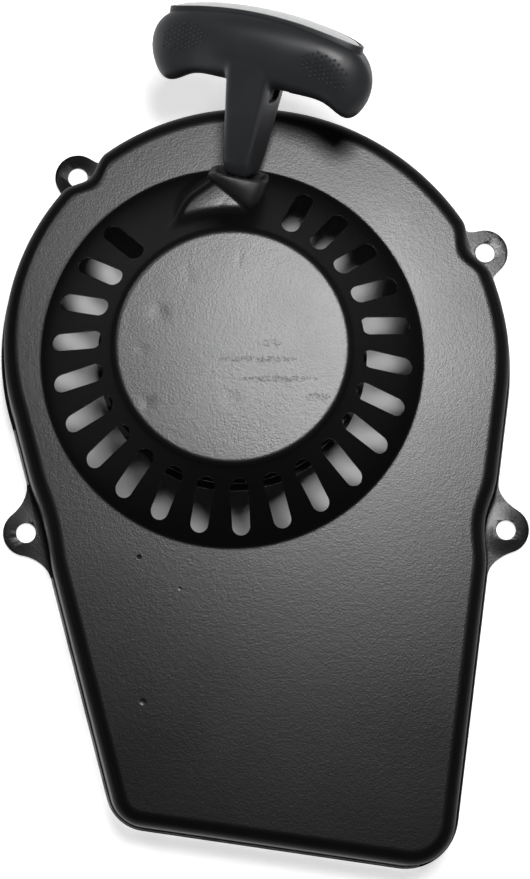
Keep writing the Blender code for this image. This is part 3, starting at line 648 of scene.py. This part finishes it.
moulded = Shader("guide_black_plastic", (0.008, 0.008, 0.009), 0.52)
moulded.roughness(moulded.ramp(moulded.noise(160, 4, 0.6), 0.3, 0.7, 0.46, 0.60))
moulded.bump(moulded.noise(900, 2, 0.5), 0.03, 0.25)
moulded.bump(moulded.noise(120, 2, 0.5), 0.12, 0.12)
guide = mesh_piece("rope_guide_block", *loft(guide_rings()), moulded.material, "housing",
                   "black_plastic", 40)
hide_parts("rope_guide")


# ============================ Handle ============================
# A T grip moulded in charcoal plastic round a tapered stem, with raised dots on both wings
# for grip, and a light cap pressed into its top over the rope's knot and washer.
GRIP_TWIST = math.radians(18)
GRIP_HALF, GRIP_TOP, GRIP_SHIFT, GRIP_DEPTH = 36.2, 50.3, 0.6, 11.0
GRIP_UNDER = 28.5                # height of the wings' underside over the guide's mouth
LOBE_DROP, LOBE_WIDTH = 5.2, 6.6
STEM_HALF_W, STEM_TAPER, STEM_LENGTH = 3.9, 0.11, 35.0
X, Y, Z = Vector((1, 0, 0)), Vector((0, 1, 0)), Vector((0, 0, 1))


def end_reach(x):
    """How much further the wing on this side of the stem reaches."""
    return 0.6 if x < 0 else 1.0


def top_fall(x):
    """How far the arched top of the T has fallen, from its middle out to here."""
    return 4.2 * (x / 32.0) ** 2


def grip_edge(x):
    """Lower and upper edge of the wings, and how full they still are near their ends."""
    lobe = 30.0 if x < 0 else 32.4
    low = GRIP_UNDER - LOBE_DROP * math.exp(-((abs(x) - lobe) / LOBE_WIDTH) ** 2)
    high = GRIP_TOP + 0.1 - top_fall(x)
    half = GRIP_HALF + end_reach(x)
    reach = max(1 - (abs(x) / half) ** 10, 0.002) ** 0.55
    middle = (low + high) / 2
    return middle - (middle - low) * reach, middle + (high - middle) * reach, reach


def wing_rings(steps=72, count=56):
    """Both wings from end to end, flat on top and with a waist for the fingers."""
    rings = []
    for k in range(steps + 1):
        x = -GRIP_HALF * math.cos(math.pi * k / steps)
        x *= 1 + end_reach(x) / GRIP_HALF
        low, high, reach = grip_edge(x)
        over = reach             # the ring stands over the top, and is cut flat there
        centre = Vector((x + GRIP_SHIFT, (low + high + over) / 2, 0))
        depth = GRIP_DEPTH * reach * (1 - 0.46 * (abs(x) / GRIP_HALF) ** 2.2)
        ring = squircle(centre, Y, Z, (high + over - low) / 2, depth, 2.35, count)
        waist = 1.3 * math.exp(-((abs(x) - 21) / 8.0) ** 2)
        for p in ring:
            dish = math.exp(-((p.y - low - 7.5) / 6.5) ** 2)
            p.z -= math.copysign(waist * dish * min(abs(p.z) / 9.0, 1), p.z)
        rings.append([Vector((p.x, min(p.y, high), p.z)) for p in ring])
    return rings


def stem_rings():
    """The tapered stem, from its rounded tip in the funnel up into the wings."""
    rings = []
    base, tip_end = Vector((0.2, 0.8, 0)), Vector((0.2, -0.4, 0))
    for k in range(21):
        y = base.y + STEM_LENGTH * k / 20
        depth = 5.8 + 2.0 * min(y / 4, 1) + 3.0 * (y / 36) ** 0.7
        rings.append(squircle(Vector((base.x, y, 0)), X, Z, STEM_HALF_W + STEM_TAPER * y,
                              depth, 6.0, 56))
    tip = [[tip_end + (p - base) * s + Y * lift for p in rings[0]]
           for s, lift in ((0.55, -0.4), (0.8, 0.1), (0.94, 0.6))]
    return tip + rings


def plate_rings(half, half_z, low, high, crown=0.0, round_off=0.25, steps=60):
    """An oval plate that follows the top of the T, with softened edges."""
    rings = []
    for k in range(steps + 1):
        x = -half * math.cos(math.pi * k / steps)
        width = half_z * max(1 - (abs(x) / half) ** 5, 0.0) ** (1 / 2.2)
        width = max(width, 0.3)
        edge = GRIP_TOP + 0.85 - top_fall(x)
        soft = min(round_off, width * 0.5)
        ring = [(-width, low), (width, low), (width, high - soft),
                (width - soft * 0.3, high - soft * 0.3), (width - soft, high)]
        for u in (0.8, 0.6, 0.35, 0.0, -0.35, -0.6, -0.8):
            z = (width - soft) * u
            ring.append((z, high + crown * (1 - u * u) ** 0.7 * min(width / half_z, 1)))
        ring += [(-width + soft, high), (-width + soft * 0.3, high - soft * 0.3),
                 (-width, high - soft)]
        rings.append([Vector((x + GRIP_SHIFT, edge + y, z)) for z, y in ring])
    return rings


grip_plastic = Shader("charcoal_grip_plastic", (0.021, 0.022, 0.025), 0.48)
grip_plastic.roughness(grip_plastic.ramp(grip_plastic.noise(90, 4, 0.6), 0.3, 0.7, 0.40, 0.50))
grip_plastic.tint(grip_plastic.ramp(grip_plastic.noise(30, 3, 0.5), 0.45, 0.75, 0, 0.5),
                  (0.031, 0.032, 0.036))
grip_plastic.bump(grip_plastic.noise(1400, 2, 0.5), 0.03, 0.25)
grip_plastic.bump(grip_plastic.noise(60, 2, 0.5), 0.25, 0.10)

in_hand = pull_frame(GRIP_TWIST)
body = mesh_piece("handle_body", *together(placed(loft(wing_rings()), in_hand),
                                           placed(loft(stem_rings()), in_hand)),
                  grip_plastic.material, None, None)
remesh = body.modifiers.new("one", "REMESH")
remesh.mode, remesh.voxel_size, remesh.use_smooth_shade = "VOXEL", 0.62 * MM, True
soften = body.modifiers.new("soft", "SMOOTH")
soften.factor, soften.iterations = 0.5, 7
settle(body)


def turned(profile, steps=32):
    """Points (radius, height) spun about Z."""
    rings = []
    for k in range(steps):
        a = math.tau * k / steps
        rings.append([Vector((*polar(r, a), z)) for r, z in profile])
    return loft(rings, closed=True)


def cut_from(piece, shape):
    """Take a shape out of a piece."""
    cutter = mesh_piece("cutter", *shape, None, None, None)
    cutting = piece.modifiers.new("cut", "BOOLEAN")
    cutting.operation, cutting.solver, cutting.object = "DIFFERENCE", "EXACT", cutter
    settle(piece)
    bpy.data.objects.remove(cutter)


# Inside: the recess for the cap, the bore and chamber for the rope and its knot, and a small
# pocket beside the stem.
upright = pull_frame() @ Matrix.Rotation(math.radians(-90), 4, "X")
chamber = [(0.02, -3.0), (2.3, -3.0), (2.3, 30.0), (5.8, 30.0), (5.8, 45.0), (0.02, 45.0)]
recess = placed(loft(plate_rings(31.2, 4.9, -4.7, 4.0)), in_hand)
pocket = loft([squircle(Vector((x, 27.2, 0.6)), Y, Z, 3.3, 4.6, 2.6, 28)
               for x in (5.6, 8.0, 13.0)])
cut_from(body, placed(pocket, in_hand))
cut_from(body, placed(turned(chamber), upright))
cut_from(body, recess)


def on_grip(tree, x, y):
    """Where the front of the grip is, under a point of the handle's own frame."""
    start = (in_hand @ Vector((x, y, 30))) * MM
    down = in_hand.to_3x3() @ Vector((0, 0, -1))
    spot, normal, _, _ = tree.ray_cast(start, down)
    return spot, normal


DOT_ROWS, DOT_COLUMNS, DOT_PITCH_X, DOT_PITCH_Y = 6, 11, 1.35, 1.4


def raised_dots():
    """Rows of small raised dots on the front of each wing, without the pattern's corners."""
    tree = BVHTree.FromObject(body, bpy.context.evaluated_depsgraph_get())
    shapes = []
    for side in (-1, 1):
        for row in range(DOT_ROWS):
            for column in range(DOT_COLUMNS):
                x = side * (17.0 + DOT_PITCH_X * column) + GRIP_SHIFT
                offset = DOT_PITCH_Y / 2 * (column % 2)
                y = 36.4 + DOT_PITCH_Y * row + offset - 0.014 * (abs(x) - 16) ** 2
                if row in (0, DOT_ROWS - 1) and not 1 < column < DOT_COLUMNS - 2:
                    continue
                spot, normal = on_grip(tree, x, y)
                if spot is None:
                    continue
                side_way = normal.orthogonal().normalized()
                other = normal.cross(side_way)
                centre = spot / MM - normal * 0.12
                rings = [[centre + normal * lift + r * (math.cos(t) * side_way
                                                        + math.sin(t) * other)
                          for t in (math.tau * k / 8 for k in range(8))]
                         for r, lift in ((0.46, 0.0), (0.38, 0.26), (0.18, 0.46))]
                shapes.append(loft(rings))
    return together(*shapes)


mesh_piece("handle_dots", *raised_dots(), grip_plastic.material, "handle", "grip_plastic", 60)
rim_shape = placed(loft(plate_rings(32.3, 5.9, -3.5, 0.0, 0.0, 0.3)), in_hand)
rim = mesh_piece("handle_rim", *rim_shape, grip_plastic.material, None, None)
cut_from(rim, recess)
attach(rim, "handle")
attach(body, "handle")
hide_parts("handle_grip")

cap_plastic = Shader("light_cap_plastic", (0.70, 0.71, 0.70), 0.34)
cap_plastic.roughness(cap_plastic.ramp(cap_plastic.noise(200, 3, 0.5), 0.3, 0.7, 0.28, 0.42))
cap_plastic.tint(cap_plastic.ramp(cap_plastic.noise(60, 4, 0.6), 0.5, 0.8, 0, 0.4),
                 (0.58, 0.59, 0.585))
cap_plastic.bump(cap_plastic.noise(700, 2, 0.5), 0.02, 0.15)
cap_shape = placed(loft(plate_rings(30.9, 4.6, -4.2, -0.2, 1.1, 0.4)), in_hand)
cap = mesh_piece("handle_cap", *cap_shape, cap_plastic.material, "handle", "grey_plastic", 50)
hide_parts("handle_insert")


# ============================ Rope ============================
# Braided white polyester, about 3.6 mm thick. It lies wound in the reel's groove, leaves
# over the flange into the hood, and is knotted in the reel's back and in the grip.
ROPE_R, ROPE_Z, ROPE_LAYER_R = 1.8, 36.5, 38.2
LEAVING_STEP = 0.16              # angle between the lead's points on the winding
WRAPS, WRAP_STEPS = 4, 60
INNER_WRAP_R, LAYER_STEP, WRAP_R = 31.9, 2.6, 1.5
WRAP_LOW, WRAP_RISE = 33.3, 3.3


def smooth_path(points, per_span):
    """A smooth path through given points."""
    pts = [Vector(p) for p in points]
    pts = [2 * pts[0] - pts[1]] + pts + [2 * pts[-1] - pts[-2]]
    out = []
    for i in range(1, len(pts) - 2):
        a, b, c, d = pts[i - 1:i + 3]
        for k in range(per_span):
            t = k / per_span
            out.append(0.5 * (2 * b + (c - a) * t + (2 * a - 5 * b + 4 * c - d) * t * t
                              + (3 * b - a - 3 * c + d) * t ** 3))
    return out + [pts[-2]]


def cord(path, radius, sides=16):
    """A round cord with the shallow ridges of its braid running round it."""
    rings, frame_x, walked = [], None, 0.0
    for i, p in enumerate(path):
        along = (path[min(i + 1, len(path) - 1)] - path[max(i - 1, 0)]).normalized()
        frame_x = frame_x or along.orthogonal()
        frame_x = (frame_x - along * frame_x.dot(along)).normalized()
        frame_y = along.cross(frame_x)
        walked += (p - path[i - 1]).length if i else 0.0
        ring = []
        for k in range(sides):
            t = math.tau * k / sides
            braid = math.cos(4 * t + walked * 1.5) * math.cos(4 * t - walked * 1.5)
            r = radius * (0.965 + 0.035 * braid)
            ring.append(p + r * (math.cos(t) * frame_x + math.sin(t) * frame_y))
        rings.append(ring)
    return loft(rings)


rope_white = Shader("braided_rope", (0.66, 0.65, 0.61), 0.85)
rope_white.roughness(rope_white.ramp(rope_white.noise(400, 3), 0.3, 0.7, 0.75, 0.95))
rope_white.tint(rope_white.ramp(rope_white.noise(90, 4, 0.7), 0.5, 0.75, 0, 0.6),
                (0.42, 0.40, 0.36))
rope_white.bump(rope_white.noise(2200, 2, 0.6), 0.12, 0.5)
rope_white.bump(rope_white.noise(650, 2, 0.5, (1, 1, 2.5)), 0.2, 0.4)

pull_way = pull_frame().to_3x3().col[1]
hood_entry = HOOD_MOUTH - polar(1, HOOD_WAY) * 4.5
leave = math.atan2(hood_entry.y, hood_entry.x) + math.acos(ROPE_LAYER_R / hood_entry.length)
lead_points = [Vector((*polar(ROPE_LAYER_R, leave + LEAVING_STEP * k), ROPE_Z))
               for k in (4, 3, 2, 1, 0)]
lead_points += [lead_points[-1].lerp(Vector((*hood_entry, ROPE_Z)), 0.62),
                Vector((*hood_entry, 39.4)), Vector((*HOOD_MOUTH, 40.6)),
                MOUTH - pull_way * 3.0]
lead_points += [MOUTH + pull_way * s for s in (2, 10, 20, 31.5)]
lead = mesh_piece("rope_to_handle", *cord(smooth_path(lead_points, 22), ROPE_R - 0.05),
                  rope_white.material, None, "rope_white", 80)
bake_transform(lead)
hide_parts("rope_lead")

# Two layers of two turns each: up the groove on the inner one, back down on the outer.
wraps = []
for k in range(WRAPS * WRAP_STEPS + 1):
    turn = k / WRAP_STEPS
    layer = min(max((turn - 1.85) / 0.3, 0), 1)
    column = turn if turn < WRAPS / 2 else WRAPS - turn
    wraps.append(Vector((*polar(INNER_WRAP_R + LAYER_STEP * layer, math.tau * turn),
                         WRAP_LOW + WRAP_RISE * min(column / 2, 1))))
wound = mesh_piece("rope_wraps", *cord(wraps, WRAP_R, 14), rope_white.material, "reel",
                   "rope_white", 80)
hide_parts("rope_winding")


# ============================ Reel ============================
# The grooved pulley that the rope winds on: glass-filled nylon, moulded in one piece. It
# turns on a bush on the cover's post, and is held up by the brake plate and the bolt.
def dress(names, shader, slot, bevel=0.12):
    """Give CAD parts their finish, with their sharp edges broken."""
    for name in names:
        part = nodes[name]
        part.data.materials.clear()
        part.data.materials.append(shader.material)
        if bevel:
            soft = part.modifiers.new("broken_edges", "BEVEL")
            soft.width, soft.segments, soft.limit_method = bevel * MM, 2, "ANGLE"
            soft.angle_limit = math.radians(40)
            soft.use_clamp_overlap = True


nylon = Shader("reel_black_nylon", (0.014, 0.014, 0.015), 0.45)
nylon.roughness(nylon.ramp(nylon.noise(120, 4, 0.6), 0.3, 0.7, 0.38, 0.55))
nylon.tint(nylon.ramp(nylon.noise(55, 4, 0.6), 0.5, 0.8, 0, 0.5), (0.026, 0.026, 0.027))
nylon.bump(nylon.noise(1100, 2, 0.5), 0.03, 0.3)
nylon.bump(nylon.noise(45, 2, 0.5), 0.3, 0.1)
dress(["reel"], nylon, "reel_nylon")

# ============================ Post, brake and pawls ============================
# The post is welded under the disc, and its bolt and washer clamp the brake plate. The plate
# swings both pawls out of the reel. All are steel, zinc plated, with springs of blued wire.
zinc = Shader("bright_zinc", (0.58, 0.59, 0.60), 0.34, metallic=1.0)
zinc.roughness(zinc.ramp(zinc.noise(260, 4, 0.65), 0.3, 0.7, 0.26, 0.46))
zinc.tint(zinc.ramp(zinc.noise(70, 4, 0.6), 0.45, 0.75, 0, 0.6), (0.50, 0.49, 0.44))
zinc.bump(zinc.noise(900, 3, 0.6), 0.03, 0.3)
zinc.bump(zinc.noise(1600, 2, 0.5, (1, 0.1, 1)), 0.02, 0.3)
dress(["center_post", "center_bolt", "bolt_washer", "spring_cover", "friction_plate",
       "pawl_1", "pawl_2", "handle_washer"], zinc, "zinc_steel")

strip_steel = Shader("blued_spring_steel", (0.20, 0.21, 0.24), 0.32, metallic=1.0)
strip_steel.roughness(strip_steel.ramp(strip_steel.noise(300, 3), 0.3, 0.7, 0.26, 0.44))
strip_steel.tint(strip_steel.ramp(strip_steel.noise(60, 3), 0.45, 0.7, 0, 0.5),
                 (0.16, 0.14, 0.12))
strip_steel.bump(strip_steel.noise(1500, 2, 0.5, (1, 1, 0.1)), 0.02, 0.3)
dress(["friction_spring", "pawl_spring_1", "pawl_spring_2"], strip_steel, "spring_steel", 0)


# ============================ Recoil spring ============================
# A blued steel strip, wound in the reel's cup under the spring cover. Its inner end hooks
# into the post, and its outer end hooks on the reel, so it winds up as the rope comes out.
SPRING_LOW, SPRING_HIGH, SPRING_THICK = 41.0, 49.2, 0.5
SPRING_IN, SPRING_OUT, SPRING_TURNS, TURN_STEPS = 8.8, 30.8, 9, 44
HOOK_HALF = 0.3                  # half the hooks' thickness, and what they lack in height


def spring_strip():
    """Flat strip wound on edge, its inner end turned into the post."""
    rings, steps = [], SPRING_TURNS * TURN_STEPS
    for k in range(steps + 1):
        u = k / steps
        r = SPRING_IN + (SPRING_OUT - SPRING_IN) * u
        a = math.tau * SPRING_TURNS * u
        inner, outer = polar(r - SPRING_THICK / 2, a), polar(r + SPRING_THICK / 2, a)
        rings.append([(*inner, SPRING_LOW), (*outer, SPRING_LOW), (*outer, SPRING_HIGH),
                      (*inner, SPRING_HIGH)])
    return together(loft(rings), spring_hook(7.1, SPRING_IN))


def spring_hook(start, end):
    """A straight piece of the strip along X, between two radii."""
    low, high = SPRING_LOW + HOOK_HALF, SPRING_HIGH - HOOK_HALF
    return loft([[(x, y, z) for y, z in ((-HOOK_HALF, low), (HOOK_HALF, low),
                                         (HOOK_HALF, high), (-HOOK_HALF, high))]
                 for x in (start, end)])


strip = mesh_piece("recoil_strip", *spring_strip(), strip_steel.material, "housing",
                   "spring_steel")
hook = mesh_piece("recoil_strip_outer_hook", *spring_hook(31.1, 32.3), strip_steel.material,
                  "reel", "spring_steel")
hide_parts("recoil_spring")
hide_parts("recoil_spring")


# ============================ Bush and rope knots ============================
# The reel's bush is sintered bronze that holds oil, pressed in. The rope's two knots sit in
# the reel's back and in the grip's chamber, where a washer carries the pull.
sintered = Shader("oil_bronze", (0.52, 0.36, 0.17), 0.42, metallic=1.0)
sintered.roughness(sintered.ramp(sintered.noise(240, 4), 0.3, 0.7, 0.34, 0.52))
sintered.tint(sintered.ramp(sintered.noise(90, 4), 0.5, 0.75, 0, 0.6), (0.34, 0.22, 0.11))
sintered.bump(sintered.noise(1300, 2, 0.6), 0.04, 0.4)
dress(["reel_bush"], sintered, "bronze")
dress(["rope_knot_reel", "rope_knot_handle"], rope_white, "rope_white", 0)


# ============================ Stage, light and camera ============================
# The starter lies face up on a white bench, under one soft box high on its right.
bench_white = Shader("bench_white", (0.86, 0.86, 0.86), 0.9, specular=0.2)
bench_white.bump(bench_white.noise(300, 3), 0.05, 0.2)

# It glows, a painted light, so that it stays white: fully within about 18 cm of the cover,
# falling to about a third beyond 42 cm, and not at all under the cover, where the slots show it.
painted_glow = bench_white.times(
    bench_white.ramp(bench_white.within((0, 0, 0), 82, 0.8), 0.0, 1.0, 1.0, 0.0),
    bench_white.ramp(bench_white.within((0, -20, 0), 420, 0.42), 0.0, 1.0, 0.35, 1.0))
bench_white.join(bench_white.times(painted_glow, 0.62), bench_white.bsdf.inputs["Emission Strength"])
bench_white.bsdf.inputs["Emission Color"].default_value = (1, 1, 1, 1)
BENCH_HALF, BENCH_Z = 9000, -0.4
corners = [(x * BENCH_HALF, y * BENCH_HALF, BENCH_Z)
           for x, y in ((-1, -1), (1, -1), (1, 1), (-1, 1))]
table = mesh_piece("bench", corners, [[0, 1, 2, 3]], bench_white.material, None, None)


def soft_box(name, at, target, width, height, power, turn=0.0):
    """A rectangular area light that looks at a target, in metres and watts."""
    light = bpy.data.lights.new(name, "AREA")
    light.shape, light.size, light.size_y, light.energy = "RECTANGLE", width, height, power
    lamp = bpy.data.objects.new(name, light)
    aim = (Vector(target) - Vector(at)).to_track_quat("-Z", "Y").to_matrix().to_4x4()
    lamp.matrix_world = Matrix.Translation(at) @ aim @ Matrix.Rotation(turn, 4, "Z")
    bpy.context.scene.collection.objects.link(lamp)


soft_box("key", (0.083, 0.166, 1.0), (0.083, 0.166, 0.0), 0.18, 0.222, 6.75, 0.709)
soft_box("upper_left", (-0.33, 0.34, 1.0), (0, 0, 0.03), 0.10, 0.10, 0.9)
soft_box("fill_right", (1.3, 0.4, 0.5), (0, 0, 0.03), 0.9, 0.5, 0.5)
soft_box("fill_left", (-1.3, -0.3, 0.5), (0, 0, 0.03), 0.9, 0.5, 0.3)

# The room's light comes mostly from low down, and fades overhead.
sky = bpy.data.worlds.new("studio")
sky.use_nodes = True
backdrop = sky.node_tree.nodes["Background"]
way_out = sky.node_tree.nodes.new("ShaderNodeTexCoord")
upness = sky.node_tree.nodes.new("ShaderNodeSeparateXYZ")
horizon = sky.node_tree.nodes.new("ShaderNodeMapRange")
sky.node_tree.links.new(way_out.outputs["Generated"], upness.inputs[0])
sky.node_tree.links.new(upness.outputs["Z"], horizon.inputs["Value"])
sky.node_tree.links.new(horizon.outputs["Result"], backdrop.inputs["Strength"])
for key, value in (("From Min", 0.02), ("From Max", 0.25), ("To Min", 0.42), ("To Max", 0.035)):
    horizon.inputs[key].default_value = value
backdrop.inputs["Color"].default_value = (1, 1, 1, 1)
bpy.context.scene.world = sky
bpy.context.scene.view_settings.view_transform = "Standard"

# The camera looks nearly straight down, from 0.7 m up and a little below the cover's middle.
CAMERA_AT = Vector((2.302, -96.562, 696.114)) * MM
LOOK = Vector((math.tan(math.radians(0.7)), math.tan(math.radians(6)), -1)).normalized()
lens = bpy.data.cameras.new("camera")
lens.sensor_fit, lens.sensor_width = "HORIZONTAL", 36.0
lens.lens = 142.64151
lens.clip_start, lens.clip_end = 0.05, 20
camera = bpy.data.objects.new("camera", lens)
side = LOOK.cross(Vector((0, 1, 0))).normalized()
camera.matrix_world = (Matrix.Translation(CAMERA_AT)
                       @ Matrix((side, side.cross(LOOK), -LOOK)).transposed().to_4x4())
bpy.context.scene.collection.objects.link(camera)
bpy.context.scene.camera = camera
